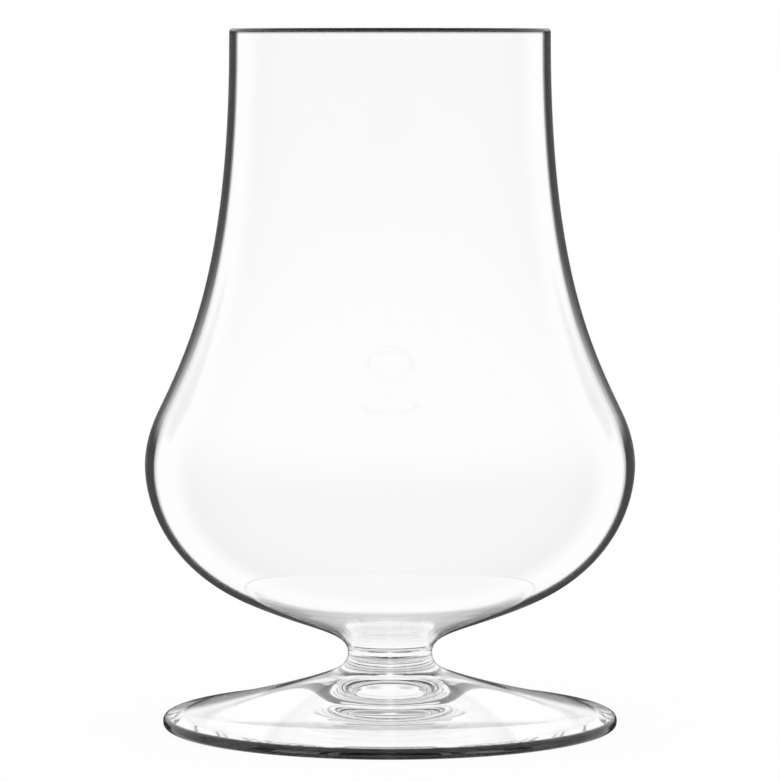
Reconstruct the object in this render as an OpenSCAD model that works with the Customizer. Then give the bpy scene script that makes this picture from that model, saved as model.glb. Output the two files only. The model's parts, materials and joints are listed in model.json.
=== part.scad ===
// Whisky nosing glass: a blown bowl on a short solid stem and a pressed round foot, fused together hot.
// Lengths are in millimetres and angles in degrees.
// The axis of the glass is Z, and the glass stands on Z = 0.
// Every piece is turned about that axis, so its outline is a list of [radius, height] points.

/* [Whole glass] */
// Height from the table to the top of the rim
glass_height = 117; // [112:0.5:122]

/* [Bowl] */
// Outside diameter at the rim
rim_diameter = 53.6; // [51:0.1:57]
// Diameter where the tall wall turns from hollow to full, just above the belly
shoulder_diameter = 77; // [75:0.5:79]
// Height of that turn
shoulder_height = 53.8; // [52:0.1:56]
// Lean of the wall away from upright at that turn
shoulder_lean = 26; // [23:1:29]
// Largest outside diameter
belly_diameter = 82.2; // [80.5:0.1:84]
// Height of the largest diameter
belly_height = 44; // [42:0.1:46]
// Diameter where the round underside of the bowl turns into the funnel above the stem
heel_diameter = 48; // [45:0.5:51]
// Height of that turn
heel_height = 21; // [19.8:0.1:22.2]
// Slope of the underside at that turn
heel_slope = 23.5; // [20:0.5:27]
// Wall thickness at the fire-polished rim
rim_wall = 1.3; // [1:0.05:1.6]
// Wall thickness at the belly
belly_wall = 1.5; // [1.2:0.05:1.8]
// Wall thickness in the funnel
funnel_wall = 1.2; // [1:0.05:1.4]
// Thickness of the floor under the drink
floor_wall = 1.2; // [0.9:0.05:1.5]

/* [Stem] */
// Diameter of the waist, where the bowl is joined on
waist_diameter = 14.2; // [13:0.1:15.4]
// Height of the waist
waist_height = 12.3; // [11.8:0.1:12.8]
// Diameter of the stem where it is joined to the foot
stem_base_diameter = 16.8; // [15.8:0.1:17.8]
// Height of that joint
stem_base_height = 9.8; // [9.3:0.1:10.3]
// Slope of the surface there
stem_base_slope = 34; // [29:1:39]

/* [Foot] */
// Diameter of the foot
foot_diameter = 76.4; // [72:0.2:80]
// Thickness of its edge
foot_edge = 1.8; // [1.6:0.05:2.2]
// Rounding of the edge, above and below
foot_edge_radius = 0.7; // [0.5:0.05:0.75]
// Slope of the top of the foot beside its edge
foot_slope = 10; // [7.5:0.5:12.5]
// Width of the flat ring that the glass stands on
standing_ring = 3; // [2:0.25:4]
// Height of the hollow under the middle of the foot
hollow_height = 4.8; // [3.8:0.1:5.8]
// Slope of the hollow beside the standing ring
hollow_slope = 10.5; // [8:0.5:13]

/* [Hidden] */
$fn = 96;
glass_colour = [0.86, 0.89, 0.88, 0.5];

// Straight facets in each smooth curve, and in each rounding
curve_steps = 18;
round_steps = 12;

// Each curve leaves its first end and reaches its second end straight, over these shares of its span
wall_shares = [0.58, 0.2];
shoulder_shares = [0.2, 0.44];
belly_shares = [0.15, 0.58];
funnel_shares = [0.61, 0.19];
floor_shares = [0.1, 0.75];
flare_shares = [0.41, 0.28];
foot_shares = [0.1, 0.36];
hollow_shares = [0.3, 0.35];
// Share of the funnel that the inside follows before it rounds into the floor
well_share = 0.9;

rim_radius = rim_diameter / 2;
lip_radius = rim_wall / 2;
lip_height = glass_height - lip_radius;
waist_radius = waist_diameter / 2;
stem_base_radius = stem_base_diameter / 2;
floor_height = waist_height + floor_wall;
edge_centre_radius = foot_diameter / 2 - foot_edge_radius;
edge_centre_height = foot_edge - foot_edge_radius;
ring_radius = edge_centre_radius - standing_ring;

// Headings along an outline that is followed from the rim down
down = [0, -1];
outward = [1, 0];
function leaning_out(lean) = [sin(lean), -cos(lean)];
function falling_in(slope) = [-cos(slope), -sin(slope)];
function falling_out(slope) = [cos(slope), -sin(slope)];
function to_the_inside(heading) = [heading[1], -heading[0]];

// The four control points of a smooth curve between two ends, each given as [point, heading]
function controls(first, last, shares) =
    let (span = norm(last[0] - first[0]))
    [
        first[0],
        first[0] + span * shares[0] * first[1],
        last[0] - span * shares[1] * last[1],
        last[0]
    ];

function place(c, t) =
    pow(1 - t, 3) * c[0] + 3 * t * pow(1 - t, 2) * c[1] + 3 * t * t * (1 - t) * c[2] + pow(t, 3) * c[3];

function heading(c, t) =
    let (d = pow(1 - t, 2) * (c[1] - c[0]) + 2 * t * (1 - t) * (c[2] - c[1]) + t * t * (c[3] - c[2]))
    d / norm(d);

// The curve as [point, heading, share of the curve], without its first end
function curve(first, last, shares, part_share = 1) =
    let (c = controls(first, last, shares))
    [
        for (i = [1:curve_steps])
            let (t = part_share * i / curve_steps)
            [place(c, t), heading(c, t), t]
    ];

function points(knots) = [for (k = knots) k[0]];

function reversed(list) = [for (i = [len(list) - 1:-1:0]) list[i]];

function arc(centre, radius, from_angle, to_angle) =
    [
        for (i = [0:round_steps])
            let (a = from_angle + (to_angle - from_angle) * i / round_steps)
            centre + radius * [cos(a), sin(a)]
    ];

// The inside of a stretch of wall, whose thickness changes gently from one end to the other
function inside(knots, first_wall, last_wall) =
    [
        for (k = knots)
            let (blend = k[2] * k[2] * (3 - 2 * k[2]))
            k[0] + (first_wall + (last_wall - first_wall) * blend) * to_the_inside(k[1])
    ];

// Ends of the curves
rim_end = [[rim_radius, lip_height], down];
shoulder_end = [[shoulder_diameter / 2, shoulder_height], leaning_out(shoulder_lean)];
belly_end = [[belly_diameter / 2, belly_height], down];
heel_end = [[heel_diameter / 2, heel_height], falling_in(heel_slope)];
waist_end = [[waist_radius, waist_height], down];
stem_base_end = [[stem_base_radius, stem_base_height], falling_out(stem_base_slope)];
foot_top_end = [
    [edge_centre_radius, edge_centre_height] + foot_edge_radius * [sin(foot_slope), cos(foot_slope)],
    falling_out(foot_slope)
];
hollow_end = [[0, hollow_height], outward];
ring_end = [[ring_radius, 0], falling_out(hollow_slope)];

// Stretches of the bowl's outside, from the rim down
wall = curve(rim_end, shoulder_end, wall_shares);
shoulder = curve(shoulder_end, belly_end, shoulder_shares);
belly = curve(belly_end, heel_end, belly_shares);
funnel = curve(heel_end, waist_end, funnel_shares);

// The inside keeps its distance from the outside as far as the well, and rounds into a level floor
well = curve(heel_end, waist_end, funnel_shares, well_share);
well_point = inside([well[curve_steps - 1]], funnel_wall, funnel_wall)[0];
well_end = [well_point, well[curve_steps - 1][1]];
floor_end = [[0, floor_height], -outward];
bowl_inside = concat(
    inside(wall, rim_wall, belly_wall),
    inside(shoulder, belly_wall, belly_wall),
    inside(belly, belly_wall, funnel_wall),
    inside(well, funnel_wall, funnel_wall),
    points(curve(well_end, floor_end, floor_shares))
);

// Thin blown bowl: pulled in to a narrow rim, with a level foot of its own at the waist
module bowl() {
    lip = arc([rim_radius - lip_radius, lip_height], lip_radius, 180, 0);
    outside = concat(points(wall), points(shoulder), points(belly), points(funnel));
    color(glass_colour)
        rotate_extrude()
            polygon(concat(lip, outside, [[0, waist_height]], reversed(bowl_inside)));
}

// Short solid stem, flared toward the foot
module stem() {
    flare = points(curve(waist_end, stem_base_end, flare_shares));
    color(glass_colour)
        rotate_extrude()
            polygon(concat([[0, waist_height], waist_end[0]], flare, [[0, stem_base_height]]));
}

// Pressed foot: a low cone with a rounded edge, hollowed underneath within a flat standing ring
module foot() {
    top = points(curve(stem_base_end, foot_top_end, foot_shares));
    upper_edge = arc([edge_centre_radius, edge_centre_height], foot_edge_radius, 90 - foot_slope, 0);
    lower_edge = arc([edge_centre_radius, foot_edge_radius], foot_edge_radius, 0, -90);
    hollow = points(curve(hollow_end, ring_end, hollow_shares));
    color(glass_colour)
        rotate_extrude()
            polygon(concat(
                [[0, stem_base_height], stem_base_end[0]],
                top,
                [for (i = [1:round_steps]) upper_edge[i]],
                lower_edge,
                reversed(hollow),
                [hollow_end[0]]
            ));
}

bowl();
stem();
foot();
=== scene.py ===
# %% [markdown]
# # A whisky nosing glass
#
# The glass has three pieces that were fused together hot: a thin blown bowl, a short solid stem and
# a pressed foot. All are clear, so the picture is made of what the glass does with the light around it.
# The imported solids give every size. This script turns the same outlines again, much more finely,
# because flat facets bend light in steps. Lengths are in millimetres, and MM turns them to metres.

# %% The frame
import json
import math

import bmesh
import bpy
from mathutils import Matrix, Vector

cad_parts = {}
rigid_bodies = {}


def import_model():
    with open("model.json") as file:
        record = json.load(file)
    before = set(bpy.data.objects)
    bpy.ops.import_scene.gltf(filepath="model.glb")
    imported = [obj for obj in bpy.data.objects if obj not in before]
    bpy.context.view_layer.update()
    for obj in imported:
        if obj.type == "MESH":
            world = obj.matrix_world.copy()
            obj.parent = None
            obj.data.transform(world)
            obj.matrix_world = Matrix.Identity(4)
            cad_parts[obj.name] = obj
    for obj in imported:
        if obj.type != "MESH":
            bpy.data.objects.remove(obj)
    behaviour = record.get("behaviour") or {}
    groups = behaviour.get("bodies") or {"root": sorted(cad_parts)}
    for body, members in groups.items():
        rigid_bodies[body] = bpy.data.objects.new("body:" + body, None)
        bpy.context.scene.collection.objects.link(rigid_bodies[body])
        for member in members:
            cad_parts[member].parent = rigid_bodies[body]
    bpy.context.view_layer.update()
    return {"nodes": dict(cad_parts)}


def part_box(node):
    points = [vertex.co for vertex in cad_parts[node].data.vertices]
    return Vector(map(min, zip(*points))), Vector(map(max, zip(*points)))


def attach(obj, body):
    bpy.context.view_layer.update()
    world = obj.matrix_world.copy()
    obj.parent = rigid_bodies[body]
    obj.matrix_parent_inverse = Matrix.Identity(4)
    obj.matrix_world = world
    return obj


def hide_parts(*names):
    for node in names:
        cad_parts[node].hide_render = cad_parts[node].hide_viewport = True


for thing in list(bpy.data.objects):
    bpy.data.objects.remove(thing)

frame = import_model()
MM = 0.001
print("pieces of the frame:", sorted(frame["nodes"]))

# %% [markdown]
# ## Reading an outline
#
# Every piece was turned about the upright axis, so all its corners lie on level rings, and a ring is
# known by its radius and height. Two rings are neighbours where an edge of the solid joins them.
# Walking from ring to ring gives back the outline that the piece was turned from. It could be typed in
# again, but then a size that changes in the solids would be missed here.

# %% Rings of a solid
SAME_RING = 0.015
KEY_DIGITS = 3


def rings_of(mesh):
    rings, ring_at, seen = [], [], {}
    for corner in mesh.vertices:
        spot = Vector((math.hypot(corner.co.x, corner.co.y) / MM, corner.co.z / MM))
        key = tuple(round(value, KEY_DIGITS) for value in spot)
        if key not in seen:
            near = [i for i, ring in enumerate(rings) if (ring - spot).length < SAME_RING]
            seen[key] = near[0] if near else len(rings)
            if not near:
                rings.append(spot)
        ring_at.append(seen[key])
    return rings, ring_at


print("corners closer than", SAME_RING, "mm share a ring")


# %% From rings to an outline
def outline_of(name):
    mesh = frame["nodes"][name].data
    rings, ring_at = rings_of(mesh)
    beside = [set() for ring in rings]
    for edge in mesh.edges:
        a, b = (ring_at[i] for i in edge.vertices)
        if a != b:
            beside[a].add(b)
            beside[b].add(a)
    walk = [next(i for i in range(len(rings)) if len(beside[i]) == 1)]
    for step in range(len(rings)):
        onward = [i for i in beside[walk[-1]] if i not in walk]
        if onward:
            walk.append(onward[0])
    print(name, "outline:", len(walk), "of", len(rings), "rings")
    return [rings[i] for i in walk]


outlines = {name: outline_of(name) for name in ("bowl", "stem", "foot")}

# %% [markdown]
# ## Smoothing it
#
# The solids follow each curve with short straight facets. A curve drawn through their corners gives the
# curve back, as long as it stops at real corners. Its heading at a corner is worked out from the facets
# on both sides. As a rule the shorter facet counts more. Where one is much longer, as where the lip meets
# the wall, the longer one counts more, because the curve would swing out past the wall otherwise.
# A Subdivision modifier smooths too, but it shrinks the outline.

# %% A smooth run between two corners
FLAT = 0.0015
UNEVEN = 3
RUN_STEPS = 24


def without_flat_points(points):
    kept = [points[0]]
    for here, after in zip(points[1:], points[2:]):
        along = (after - kept[-1]).normalized()
        off = here - kept[-1]
        if abs(off.x * along.y - off.y * along.x) > FLAT:
            kept.append(here)
    return kept + [points[-1]]


def headings_at(points, gaps):
    slopes = [(b - a) / gap for a, b, gap in zip(points, points[1:], gaps)]
    weights = [(h, g) if max(g, h) < UNEVEN * min(g, h) else (g, h) for g, h in zip(gaps, gaps[1:])]
    headings = [(a * s + b * t) / (a + b) for s, t, (a, b) in zip(slopes, slopes[1:], weights)]
    first = 2 * slopes[0] - headings[0] if headings else slopes[0]
    last = 2 * slopes[-1] - headings[-1] if headings else slopes[-1]
    level = Vector((1, 0))
    first = level if points[0].x < SAME_RING else first
    last = -level if points[-1].x < SAME_RING else last
    return [first] + headings + [last]


def smooth_run(points):
    gaps = [(b - a).length for a, b in zip(points, points[1:])]
    headings = headings_at(points, gaps)
    fine = [points[0]]
    for i, gap in enumerate(gaps):
        for k in range(1, RUN_STEPS + 1):
            t = k / RUN_STEPS
            near = (1 + 2 * t) * (1 - t) ** 2 * points[i] + t * (1 - t) ** 2 * gap * headings[i]
            far = t * t * (3 - 2 * t) * points[i + 1] + t * t * (t - 1) * gap * headings[i + 1]
            fine.append(near + far)
    return fine


print("each facet of the solids is followed in", RUN_STEPS, "steps")

# %% [markdown]
# ## Setting the points
#
# Evenly spaced points would leave the lip angular and waste faces on the long walls. So points are set
# closer where the outline turns, and every facet turns by about the same angle. The outline stops at the
# corners that rest on the table, and closes on the axis, so that the piece encloses its glass.

# %% A finer outline
FACET_TURN = math.radians(2.4)
FACET_LENGTH = 1.8
ON_TABLE = 0.001


def evenly_turned(fine):
    lengths = [(b - a).length for a, b in zip(fine, fine[1:])]
    angles = [0] + [(b - a).angle(c - b) for a, b, c in zip(fine, fine[1:], fine[2:])]
    cost = [0]
    for length, angle in zip(lengths, angles):
        cost.append(cost[-1] + length / FACET_LENGTH + angle / FACET_TURN)
    count = max(1, round(cost[-1]))
    picked, at = [fine[0]], 0
    for k in range(1, count):
        while cost[at] < cost[-1] * k / count:
            at += 1
        picked.append(fine[at])
    return picked + [fine[-1]]


def finer(name):
    points = without_flat_points(outlines[name])
    on_table = [i for i, point in enumerate(points) if point.y < ON_TABLE]
    stops = [0] + on_table + [len(points) - 1]
    outline = [points[0]]
    for a, b in zip(stops, stops[1:]):
        outline += evenly_turned(smooth_run(points[a:b + 1]))[1:]
    for end in (0, -1):
        if outline[end].x > SAME_RING:
            outline.insert(len(outline) if end else 0, Vector((0, outline[end].y)))
    area = sum(a.x * b.y - b.x * a.y for a, b in zip(outline, outline[1:]))
    return outline if area < 0 else outline[::-1]


print("facets turn by about", round(math.degrees(FACET_TURN), 1), "degrees")

# %% [markdown]
# ## Marking the rounded edges
#
# The fire-polished lip and the edge of the foot are the tightest bends of the glass, and the finish paints
# shade on light that goes in there. They could be found by height, but a changed size would move them away
# from it. So the bend is measured at each ring. What lies close beside a bend counts as edge too, a trifle
# less. A mark of painted shade fades out over one facet, and the next ring may be far off, so one more ring
# is set close beside each edge.

# %% Which rings lie on an edge
ROUND_EDGE = 1.1
CORNER = math.radians(30)
NEAR_EDGE = 0.1
NEAR_SHARE = 0.985
EDGE_SPREAD = 0.4


def edge_shares(outline):
    bends = []
    for before, here, after in zip(outline, outline[1:], outline[2:]):
        turn = (here - before).angle(after - here)
        if turn < CORNER and min((here - before).length, (after - here).length) < ROUND_EDGE * turn:
            bends.append(here)
    shares = [NEAR_SHARE * any((here - bend).length < NEAR_EDGE for bend in bends) for here in outline]
    return [1.0 if here in bends else share for here, share in zip(outline, shares)]


def fenced(outline):
    shares, rings = edge_shares(outline), [outline[0]]
    for here, there, a, b in zip(outline, outline[1:], shares, shares[1:]):
        share = EDGE_SPREAD / (there - here).length
        if share < 1 and a and not b:
            rings.append(here.lerp(there, share))
        if share < 1 and b and not a:
            rings.append(there.lerp(here, share))
        rings.append(there)
    return rings


print("an edge is rounded by less than", ROUND_EDGE, "mm")

# %% [markdown]
# ## Turning an outline
#
# A lathe shape can be made with the Screw modifier, by spinning an outline in bmesh, or by writing its
# corners and faces as lists. Lists are quick and exact: each ring lands where the outline says, the
# faces of the fused joints are told apart at once, and a point on the axis stays one corner.

# %% Corners and faces
AROUND = 240
SAME_HEIGHT = 1e-6
TURNED_BY = [2 * math.pi * k / AROUND for k in range(AROUND)]


def ring_corners(point):
    if point.x < SAME_RING:
        return [(0, 0, point.y * MM)]
    radius, height = point.x * MM, max(point.y, 0) * MM
    return [(radius * math.cos(a), radius * math.sin(a), height) for a in TURNED_BY]


def faces_between(upper, lower):
    faces = []
    for k in range(AROUND):
        after = (k + 1) % AROUND
        # Beside the axis two corners are the same one, and the face has three
        faces.append(list(dict.fromkeys((upper[k], lower[k], lower[after], upper[after]))))
    return faces


def turned_faces(outline, rings, joints):
    first, numbers = 0, []
    for ring in rings:
        numbers.append([first + k % len(ring) for k in range(AROUND)])
        first += len(ring)
    faces, fused = [], []
    for here, there, upper, lower in zip(outline, outline[1:], numbers, numbers[1:]):
        on_joint = any(abs(here.y * MM - z) + abs(there.y * MM - z) < SAME_HEIGHT for z in joints)
        faces += faces_between(upper, lower)
        fused += [int(on_joint)] * AROUND
    return faces, fused


print(AROUND, "facets go round each ring")

# %% A piece of glass
SHARP = math.radians(8)


def turned(name, joints):
    outline = fenced(finer(name))
    shares = edge_shares(outline)
    rings = [ring_corners(point) for point in outline]
    faces, fused = turned_faces(outline, rings, joints)
    mesh = bpy.data.meshes.new(name + "_glass")
    mesh.from_pydata([corner for ring in rings for corner in ring], [], faces, shade_flat=False)
    mesh.polygons.foreach_set("material_index", fused)
    # How much painted shade each ring gets, full on the lip and the foot's edge
    edge = [share for share, ring in zip(shares, rings) for corner in ring]
    mesh.attributes.new("edge", "FLOAT", "POINT").data.foreach_set("value", edge)
    mesh.set_sharp_from_angle(angle=SHARP)
    piece = bpy.data.objects.new(name + "_glass", mesh)
    bpy.context.collection.objects.link(piece)
    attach(piece, "root")
    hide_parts(name)
    on_edge = sum(share > 0 for share in shares)
    print(name, len(outline), "rings,", len(faces), "faces,", on_edge, "rings on an edge")
    return piece


pieces = {}
print("corners over", round(math.degrees(SHARP)), "degrees stay sharp")

# %% [markdown]
# ## The bowl
#
# The bowl is blown in a mould, cracked off at the top, and its rim is melted round by a flame. Its outline
# goes over the lip from one side of the wall to the other, so one list of rings holds both sides.
# A single skin with a Solidify modifier would be equally thick everywhere, and this wall is not.

# %% Turned bowl
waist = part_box("stem")[1][2]
pieces["bowl"] = turned("bowl", [waist])

# %% [markdown]
# ## The stem
#
# A short solid neck that flares toward the foot. It is fused at both ends, to the bowl and to the foot,
# and being solid it bends light more than the thin bowl does.

# %% Turned stem
stem_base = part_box("stem")[0][2]
pieces["stem"] = turned("stem", [waist, stem_base])

# %% [markdown]
# ## The foot
#
# A pressed disc with a low cone on top and a hollow underneath, so that it stands on a flat ring at its
# edge. Light is mirrored between the cone and the hollow, which gives the rings below the stem. That only
# comes out right with the hollow in the mesh, although it is seen through the glass alone.

# %% Turned foot
pieces["foot"] = turned("foot", [stem_base])

# %% [markdown]
# ## Nodes and colours
#
# A finish is a tree of nodes. One small function adds a node, with its settings and with links or values
# for its sockets. Colours are written as on a screen, in hex, and light is reckoned in linear values, so
# another function turns the one into the other.


# %% Helpers for finishes
def linear(code):
    values = [int(code[i:i + 2], 16) / 255 for i in (1, 3, 5)]
    return [v / 12.92 if v < 0.04045 else ((v + 0.055) / 1.055) ** 2.4 for v in values] + [1]


def add(tree, kind, inputs=None, **settings):
    node = tree.nodes.new("ShaderNode" + kind)
    for key, value in settings.items():
        setattr(node, key, value)
    for socket, value in (inputs or {}).items():
        if isinstance(value, bpy.types.Node):
            value = value.outputs[0]
        if isinstance(value, bpy.types.NodeSocket):
            tree.links.new(value, node.inputs[socket])
        else:
            node.inputs[socket].default_value = value
    return node


def blank_material(name):
    material = bpy.data.materials.new(name)
    material.use_nodes = True
    material.node_tree.nodes.clear()
    return material, material.node_tree


WHITE = linear("#FFFFFF")
print("white is", WHITE)

# %% [markdown]
# ## Clear glass
#
# Machine-blown soda-lime glass, fire-polished: the flame melts the skin smooth, so it has no roughness
# of its own and shows no texture. Light goes straight through the thin bowl and turns only where the
# wall is seen on edge. Principled with full transmission does that, and 1.52 is the index of the melt.
# A rounded edge is a strong lens that shows the eye what is dark in the room, so the lip and the edge of
# the foot look nearly black on white. The cards alone leave them too pale here, so shade is painted on the
# marked edges: a near-black colour for the light that goes through them and for the light they mirror,
# for light that goes in there and not for light that comes out.

# %% Blown glass
GLASS_TINT = "#FEFEFE"
# Near-black painted shade for the lip and the edge of the foot
EDGE_PAINTED_SHADE = "#0E100F"
glass, tree = blank_material("Soda-lime glass, blown and fire-polished")
edge = add(tree, "Attribute", attribute_name="edge").outputs["Fac"]
leaving = add(tree, "NewGeometry").outputs["Backfacing"]
entering = add(tree, "Math", {0: 1.0, 1: leaving}, operation="SUBTRACT")
edge = add(tree, "Math", {0: edge, 1: entering}, operation="MULTIPLY")
# A Mix node takes its two colours at sockets 6 and 7 and gives their mix at output 2
tint_and_painted_shade = add(tree, "Mix", {0: edge, 6: linear(GLASS_TINT), 7: linear(EDGE_PAINTED_SHADE)}, data_type="RGBA").outputs[2]
# Through Base Color and Specular Tint the painted shade darkens both the light going through the marked
# edges and the light they mirror
skin = add(tree, "BsdfPrincipled", {
    "Base Color": tint_and_painted_shade, "Specular Tint": tint_and_painted_shade,
    "Transmission Weight": 1.0, "IOR": 1.52, "Roughness": 0.0})
add(tree, "OutputMaterial", {"Surface": skin})
print("material:", glass.name)

# %% [markdown]
# ## The fused joints
#
# Where the bowl, stem and foot were melted together there is no surface left for light to notice.
# The three meshes still need their end faces, to be closed. Those faces get a finish that lets all
# light pass unturned, so the three pieces act as one body of glass.

# %% Faces inside the glass
joint, tree = blank_material("Soda-lime glass, fused joint")
clear = add(tree, "BsdfTransparent", {"Color": WHITE})
add(tree, "OutputMaterial", {"Surface": clear})
for piece in pieces.values():
    piece.data.materials.append(glass)
    piece.data.materials.append(joint)
print("material:", joint.name)

# %% [markdown]
# ## The studio
#
# Clear glass on white is lit from behind, with dark cards just out of the picture. Light that goes
# straight through stays white, and light that was mirrored in the wall comes from the cards, so the
# outline turns dark. Cards could be planes in the scene, but then they serve one camera and stand in the
# way of the others. Here they are painted on the world instead. Three angles tell where light comes from:
# how far round from straight behind the glass, how high above the table, and how far off the line of sight.

# %% Where light comes from
CARD_RISE = math.radians(3)
world = bpy.data.worlds.new("studio")
bpy.context.scene.world = world
world.use_nodes = True
tree = world.node_tree
tree.nodes.clear()
way = add(tree, "TexCoord").outputs["Generated"]
across, along, height = add(tree, "SeparateXYZ", {0: way}).outputs
ahead = (0, math.cos(CARD_RISE), math.sin(CARD_RISE))
facing = add(tree, "VectorMath", {0: way, 1: ahead}, operation="DOT_PRODUCT").outputs["Value"]
angles = [
    add(tree, "Math", {0: across, 1: along}, operation="ARCTAN2"),
    add(tree, "Math", {0: height}, operation="ARCSINE"),
    add(tree, "Math", {0: facing}, operation="ARCCOSINE")]
turn, lift, off_view = (add(tree, "Math", {0: angle}, operation="DEGREES") for angle in angles)
turn = add(tree, "Math", {0: turn}, operation="ABSOLUTE")
print(len(angles), "angles tell where light comes from")

# %% [markdown]
# ## Cards behind the glass
#
# A card is a patch of the world with soft borders. Each border is written in degrees, as the angle where
# the card is gone and the angle where it is full, so it is quicker to move than a picture is to paint.
# Bright panels stand behind the glass at even turns. Between them are tall cards, before each one is a
# low card with a slit, and below the edge of the table all is dark.

# %% A screen of panels and cards
CARD = 0.94
FULL_CARD = 1.0
PANEL_EVERY = 45
PANEL_SIDE = (7, 11)
TALL_TOP = (12, 0)
SLIT_SIDE = (0.5, 2.5)
SLIT_TOP = (9, 4)
TABLE_EDGE = (-9, -13)
SCREEN_SIDE = (38, 33)


def card(dark, *borders):
    shade = dark
    for angle, (gone, full) in borders:
        border = add(tree, "MapRange", {0: angle, 1: gone, 2: full}, interpolation_type="SMOOTHSTEP")
        shade = add(tree, "Math", {0: shade, 1: border}, operation="MULTIPLY")
    return shade


off_panel = add(tree, "Math", {0: turn, 1: PANEL_EVERY / 2}, operation="PINGPONG")
tall = card(FULL_CARD, (off_panel, PANEL_SIDE), (lift, TALL_TOP))
slit = card(FULL_CARD, (off_panel, SLIT_SIDE), (off_panel, PANEL_SIDE[::-1]), (lift, SLIT_TOP))
below = card(FULL_CARD, (lift, TABLE_EDGE))
screen = add(tree, "Math", {0: tall, 1: slit}, operation="MAXIMUM")
screen = add(tree, "Math", {0: screen, 1: below}, operation="MAXIMUM")
behind = add(tree, "Math", {0: screen, 1: card(CARD, (off_view, SCREEN_SIDE))}, operation="MULTIPLY")
print("the screen reaches", SCREEN_SIDE[0], "degrees from the line of sight")

# %% [markdown]
# ## Cards for single places
#
# Some places of the glass need a card of their own. A paler card goes round the sides and the back. Two
# lie low behind the glass and darken the underside of the bowl, a narrow one and a wide pale one. A pair
# stands upright to the left and right, for the outline of the foot's top. A patch of floor is for the lip
# and the stem.

# %% Side, low, high and floor cards
SIDE_CARD = 0.65
SIDE_START = (56, 76)
SIDE_TOP = (40, -20)
LOW_SIDE = (17, 13)
LOW_END = (-41, -37)
WIDE_CARD = 0.7
WIDE_SIDE = (34, 28)
HIGH_START = (4, 7)
HIGH_SIDE = (24, 20)
HIGH_TOP = (26, 18)
HIGH_END = (-4, 2)
FLOOR_SIDE = (26, 20)
FLOOR_TOP = (-18, -24)
around = card(SIDE_CARD, (off_view, SIDE_START), (lift, SIDE_TOP))
low = card(CARD, (turn, LOW_SIDE), (lift, TABLE_EDGE), (lift, LOW_END))
wide = card(WIDE_CARD, (turn, WIDE_SIDE), (lift, TABLE_EDGE), (lift, LOW_END))
high = card(CARD, (turn, HIGH_START), (turn, HIGH_SIDE), (lift, HIGH_TOP), (lift, HIGH_END))
floor = card(FULL_CARD, (turn, FLOOR_SIDE), (lift, FLOOR_TOP))
print(len(tree.nodes), "nodes paint the cards")

# %% [markdown]
# ## Which light sees which card
#
# A photographer moves cards until each edge of the glass reads, and trims the ones that spoil its face.
# Light Path can do the trimming. It counts how often light was mirrored and how many surfaces it went
# through, so it tells light that glanced off the skin from light that was caught inside one wall, where it
# went in and out, and from light that went through more walls. Light that was mirrored five times gives the
# petals below the stem, and is dark wherever it comes from. Light that was only bent sees just the floor.

# %% Cards for each kind of light
MANY = 40
PETALS = 5
NONE, ONCE, SOME = (0, 0), (1, 1), (1, MANY)
ONE_WALL, MORE_WALLS = (2, 2), (3, MANY)
path = add(tree, "LightPath").outputs
mirrored, surfaces = path["Glossy Depth"], path["Transmission Depth"]
# Each row is a card, how often light was mirrored, and the surfaces that it went through
seen_by = [
    (behind, SOME, NONE),
    (around, SOME, NONE),
    (behind, SOME, ONE_WALL),
    (around, (1, PETALS - 1), ONE_WALL),
    (CARD, (PETALS, PETALS), ONE_WALL),
    (low, ONCE, ONE_WALL),
    (high, ONCE, ONE_WALL),
    (wide, SOME, MORE_WALLS),
    (floor, NONE, SOME)]
dark = 0.0
for shade, mirrorings, passes in seen_by:
    for count, (least, most) in ((mirrored, mirrorings), (surfaces, passes)):
        middle, reach = (least + most) / 2, (most - least + 1) / 2
        kind = add(tree, "Math", {0: count, 1: middle, 2: reach}, operation="COMPARE")
        shade = add(tree, "Math", {0: shade, 1: kind}, operation="MULTIPLY")
    dark = add(tree, "Math", {0: dark, 1: shade}, operation="MAXIMUM")
light = add(tree, "Math", {0: 1.0, 1: dark}, operation="SUBTRACT")
room = add(tree, "Background", {"Color": WHITE, "Strength": light})
add(tree, "OutputWorld", {"Surface": room})
print(len(seen_by), "rows say which light sees which card")

# %% [markdown]
# ## The table
#
# A white table that runs out of sight. Most of its white is light of its own, so that it stays even,
# and a small part is lit by the room, so that the foot can cast a faint shadow. Mirrored and bent
# light passes it by and meets the world, where the cards are. It lies a hair below the glass, because
# two faces in one plane would flicker.

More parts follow.
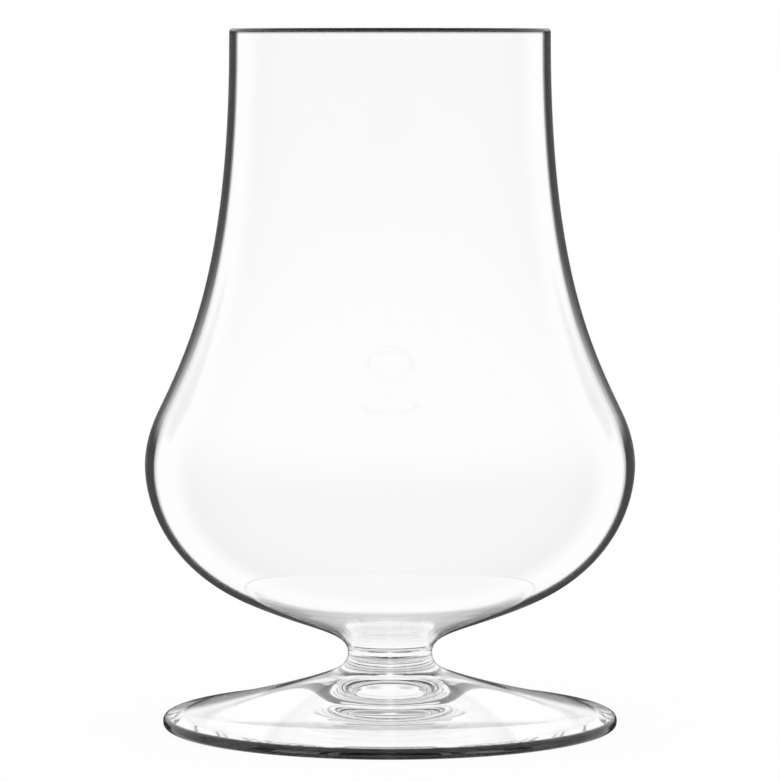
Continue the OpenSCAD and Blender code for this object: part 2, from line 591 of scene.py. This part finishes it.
# %% White table
OWN_LIGHT = 0.94
LIT_SHADE = "#454545"
TABLE_RADIUS = 4000
TABLE_SIDES = 96
TABLE_DROP = 0.02
paper, tree = blank_material("White card, lit from below")
own = add(tree, "Emission", {"Color": WHITE, "Strength": OWN_LIGHT})
lit = add(tree, "BsdfDiffuse", {"Color": linear(LIT_SHADE)})
both = add(tree, "AddShader", {0: own, 1: lit})
add(tree, "OutputMaterial", {"Surface": both})
disc = bmesh.new()
bmesh.ops.create_circle(disc, cap_ends=True, segments=TABLE_SIDES, radius=TABLE_RADIUS * MM)
mesh = bpy.data.meshes.new("table")
disc.to_mesh(mesh)
disc.free()
mesh.materials.append(paper)
table = bpy.data.objects.new("table", mesh)
bpy.context.collection.objects.link(table)
table.location.z = -TABLE_DROP * MM
table.visible_glossy = False
table.visible_transmission = False
print("table", table.dimensions.x, "m across")

# %% [markdown]
# ## The camera
#
# The rim looks like a line, so the lens is almost level with it, and the foot is seen from a little
# above. A long lens keeps the rim and the foot to nearly the same scale. A camera looks straight down
# until it is turned, and level at a quarter turn. View transform Standard keeps white paper white.

# %% Long lens, level with the rim
FOCAL_PIXELS = 4466.8
IMAGE_WIDTH = 780
SENSOR_WIDTH = 36
LENS_AWAY = 746.8
LENS_HEIGHT = 114.2
QUARTER_TURN = 90
LENS_DIP = 4.42
view = bpy.data.cameras.new("camera")
view.sensor_fit = "HORIZONTAL"
view.sensor_width = SENSOR_WIDTH
view.lens = SENSOR_WIDTH * FOCAL_PIXELS / IMAGE_WIDTH
camera = bpy.data.objects.new("camera", view)
bpy.context.collection.objects.link(camera)
camera.location = (0, -LENS_AWAY * MM, LENS_HEIGHT * MM)
camera.rotation_euler = (math.radians(QUARTER_TURN - LENS_DIP), 0, 0)
bpy.context.scene.camera = camera
bpy.context.scene.view_settings.view_transform = "Standard"
print("lens", round(view.lens, 1), "mm")

# %% [markdown]
# ## Long paths
#
# In the foot, light is mirrored between top and underside many times before it gets out. Cycles drops
# light after a few turns, and what it drops turns black. The limits are raised so that the foot stays
# clear.

# %% Room for many turns
MOST_MIRRORINGS = 24
MOST_TURNS = 32
paths = bpy.context.scene.cycles
paths.glossy_bounces = MOST_MIRRORINGS
paths.transmission_bounces = MOST_MIRRORINGS
paths.max_bounces = MOST_TURNS
print("light may turn", paths.max_bounces, "times")

# %% [markdown]
# ## Finish
#

# %% Last update
bpy.context.view_layer.update()
